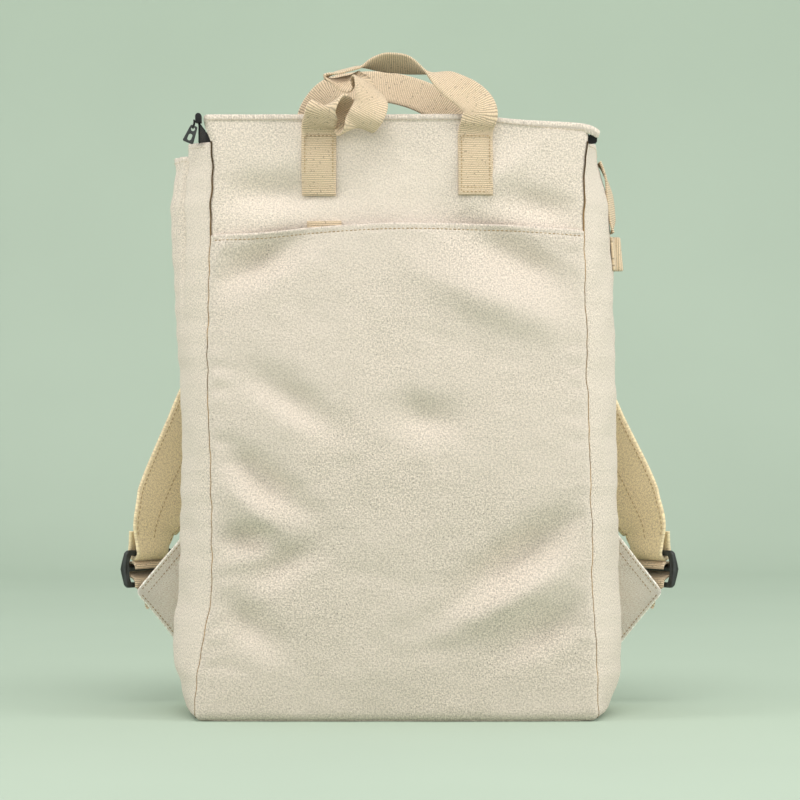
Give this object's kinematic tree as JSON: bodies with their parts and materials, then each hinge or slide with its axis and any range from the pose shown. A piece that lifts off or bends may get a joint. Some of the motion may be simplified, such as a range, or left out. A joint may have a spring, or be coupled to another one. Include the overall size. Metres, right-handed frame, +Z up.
{
  "type": "convertible canvas backpack",
  "caption": "Soft upright natural canvas bag, open at the top, with a front slip pocket, webbing handles, ladder-lock shoulder straps and a black zip.",
  "frame": {"origin": "centre of the base panel's underside, on the floor", "axes": "+Z up, -Y towards the front panel with the slip pocket, +X to the right gusset"},
  "size_m": [0.4206, 0.2132, 0.48],
  "materials": {
    "canvas": "natural woven",
    "webbing": "ribbed woven",
    "strap_cloth": "heavy woven",
    "zip_tape": "twill tape",
    "plastic": "satin",
    "metal": "satin"
  },
  "bodies": {
    "root": {"front_panel": "canvas", "front_pocket": "canvas", "back_panel": "canvas", "gusset_left": "canvas", "gusset_right": "canvas", "base_panel": "canvas", "top_hem_front": "canvas", "top_hem_back": "canvas", "handle_front": "webbing", "handle_back": "webbing", "pocket_tab": "webbing", "side_handle": "webbing", "side_loop_tab": "webbing", "strap_webbing_left": "webbing", "strap_webbing_right": "webbing", "strap_left": "strap_cloth", "strap_right": "strap_cloth", "wing_left": "strap_cloth", "wing_right": "strap_cloth", "zip_tape_front": "zip_tape", "zip_tape_back": "zip_tape", "buckle_left": "plastic", "buckle_right": "plastic", "zip_pull": "plastic", "zip_slider": "metal", "zip_bail": "metal"}
  },
  "joints": []
}
